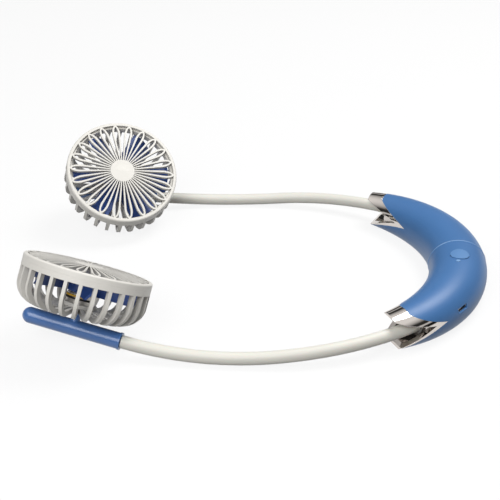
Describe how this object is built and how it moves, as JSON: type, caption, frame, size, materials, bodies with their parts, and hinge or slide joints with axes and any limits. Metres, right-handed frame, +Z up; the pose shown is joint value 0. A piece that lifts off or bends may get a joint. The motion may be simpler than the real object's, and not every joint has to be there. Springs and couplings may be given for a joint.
{
  "type": "neck fan",
  "caption": "Neck fan with a curved housing for the back of the neck, flexible arms and caged fan heads that swivel on tubes at the front.",
  "frame": {"origin": "middle of the flat foot under the neck housing, in the symmetry plane", "axes": "+Z up from the table, +X towards the back of the wearer's neck, arms reaching to -X, left arm at -Y"},
  "size_m": [0.2827, 0.2253, 0.0657],
  "materials": {
    "blue_shell": "satin moulded plastic",
    "blue_cover": "fine matt moulded plastic",
    "button": "satin moulded plastic",
    "light_window": "clear moulded plastic",
    "chrome_trim": "bright plated plastic",
    "circuit_board": "green solder mask",
    "switch": "black moulded plastic",
    "socket_steel": "formed steel",
    "battery_wrap": "shrink wrap",
    "silicone": "soft off-white silicone",
    "spine_steel": "wire",
    "gland_rubber": "moulded rubber",
    "bush_plastic": "acetal",
    "clip_steel": "spring steel",
    "arm_blue": "satin moulded plastic",
    "white_cage": "warm white moulded plastic",
    "blue_blade": "moulded plastic",
    "motor_steel": "drawn steel",
    "shaft_steel": "ground steel",
    "lead_yellow": "wire insulation",
    "lead_black": "wire insulation",
    "screw_steel": "zinc plated"
  },
  "bodies": {
    "housing": {"shell_left": "blue_shell", "shell_right": "blue_shell", "base_cover": "blue_cover", "circuit_board": "circuit_board", "tact_switch": "switch", "usb_socket": "socket_steel", "battery_cell": "battery_wrap", "light_pipe": "light_window", "end_trim_left": "chrome_trim", "gland_left": "gland_rubber", "gooseneck_sleeve_left": "silicone", "gooseneck_core_left": "spine_steel", "end_trim_right": "chrome_trim", "gland_right": "gland_rubber", "gooseneck_sleeve_right": "silicone", "gooseneck_core_right": "spine_steel"},
    "button": {"power_button": "button"},
    "arm_left": {"swivel_bush_left": "bush_plastic", "swivel_clip_left": "clip_steel"},
    "head_left": {"swivel_arm_left": "arm_blue", "arm_cap_left": "arm_blue", "rear_cage_left": "white_cage", "front_grille_left": "white_cage", "motor_can_left": "motor_steel", "lead_yellow_left": "lead_yellow", "lead_black_left": "lead_black", "cage_screw_left": "screw_steel"},
    "rotor_left": {"impeller_left": "blue_blade", "motor_shaft_left": "shaft_steel"},
    "arm_right": {"swivel_bush_right": "bush_plastic", "swivel_clip_right": "clip_steel"},
    "head_right": {"swivel_arm_right": "arm_blue", "arm_cap_right": "arm_blue", "rear_cage_right": "white_cage", "front_grille_right": "white_cage", "motor_can_right": "motor_steel", "lead_yellow_right": "lead_yellow", "lead_black_right": "lead_black", "cage_screw_right": "screw_steel"},
    "rotor_right": {"impeller_right": "blue_blade", "motor_shaft_right": "shaft_steel"}
  },
  "joints": [
    {"name": "button_press", "type": "slide", "parent": "housing", "child": "button", "axis": [0, 0, -1], "range_m": [0, 0.0006], "stiffness_N_per_m": 900},
    {"name": "bend_left", "type": "hinge", "parent": "housing", "child": "arm_left", "pos_m": [-0.11488, -0.10332, 0.00556], "axis": [0, 0, 1], "range_deg": [-18, 18], "deforming": ["gooseneck_sleeve_left", "gooseneck_core_left"]},
    {"name": "swivel_left", "type": "hinge", "parent": "arm_left", "child": "head_left", "pos_m": [-0.2323, -0.08888, 0.01408], "axis": [-0.9615, 0.2181, 0.1671], "range_deg": [-150, 150]},
    {"name": "spin_left", "type": "hinge", "parent": "head_left", "child": "rotor_left", "pos_m": [-0.2323, -0.08888, 0.01408], "axis": [0.2479, 0.4268, 0.8697], "continuous": true},
    {"name": "bend_right", "type": "hinge", "parent": "housing", "child": "arm_right", "pos_m": [-0.11488, 0.10332, 0.00556], "axis": [0, 0, -1], "range_deg": [-18, 18], "deforming": ["gooseneck_sleeve_right", "gooseneck_core_right"]},
    {"name": "swivel_right", "type": "hinge", "parent": "arm_right", "child": "head_right", "pos_m": [-0.2323, 0.08888, 0.01408], "axis": [-0.9615, -0.2181, 0.1671], "range_deg": [-150, 150]},
    {"name": "spin_right", "type": "hinge", "parent": "head_right", "child": "rotor_right", "pos_m": [-0.2323, 0.08888, 0.01408], "axis": [0.266, -0.5851, 0.7661], "continuous": true}
  ]
}
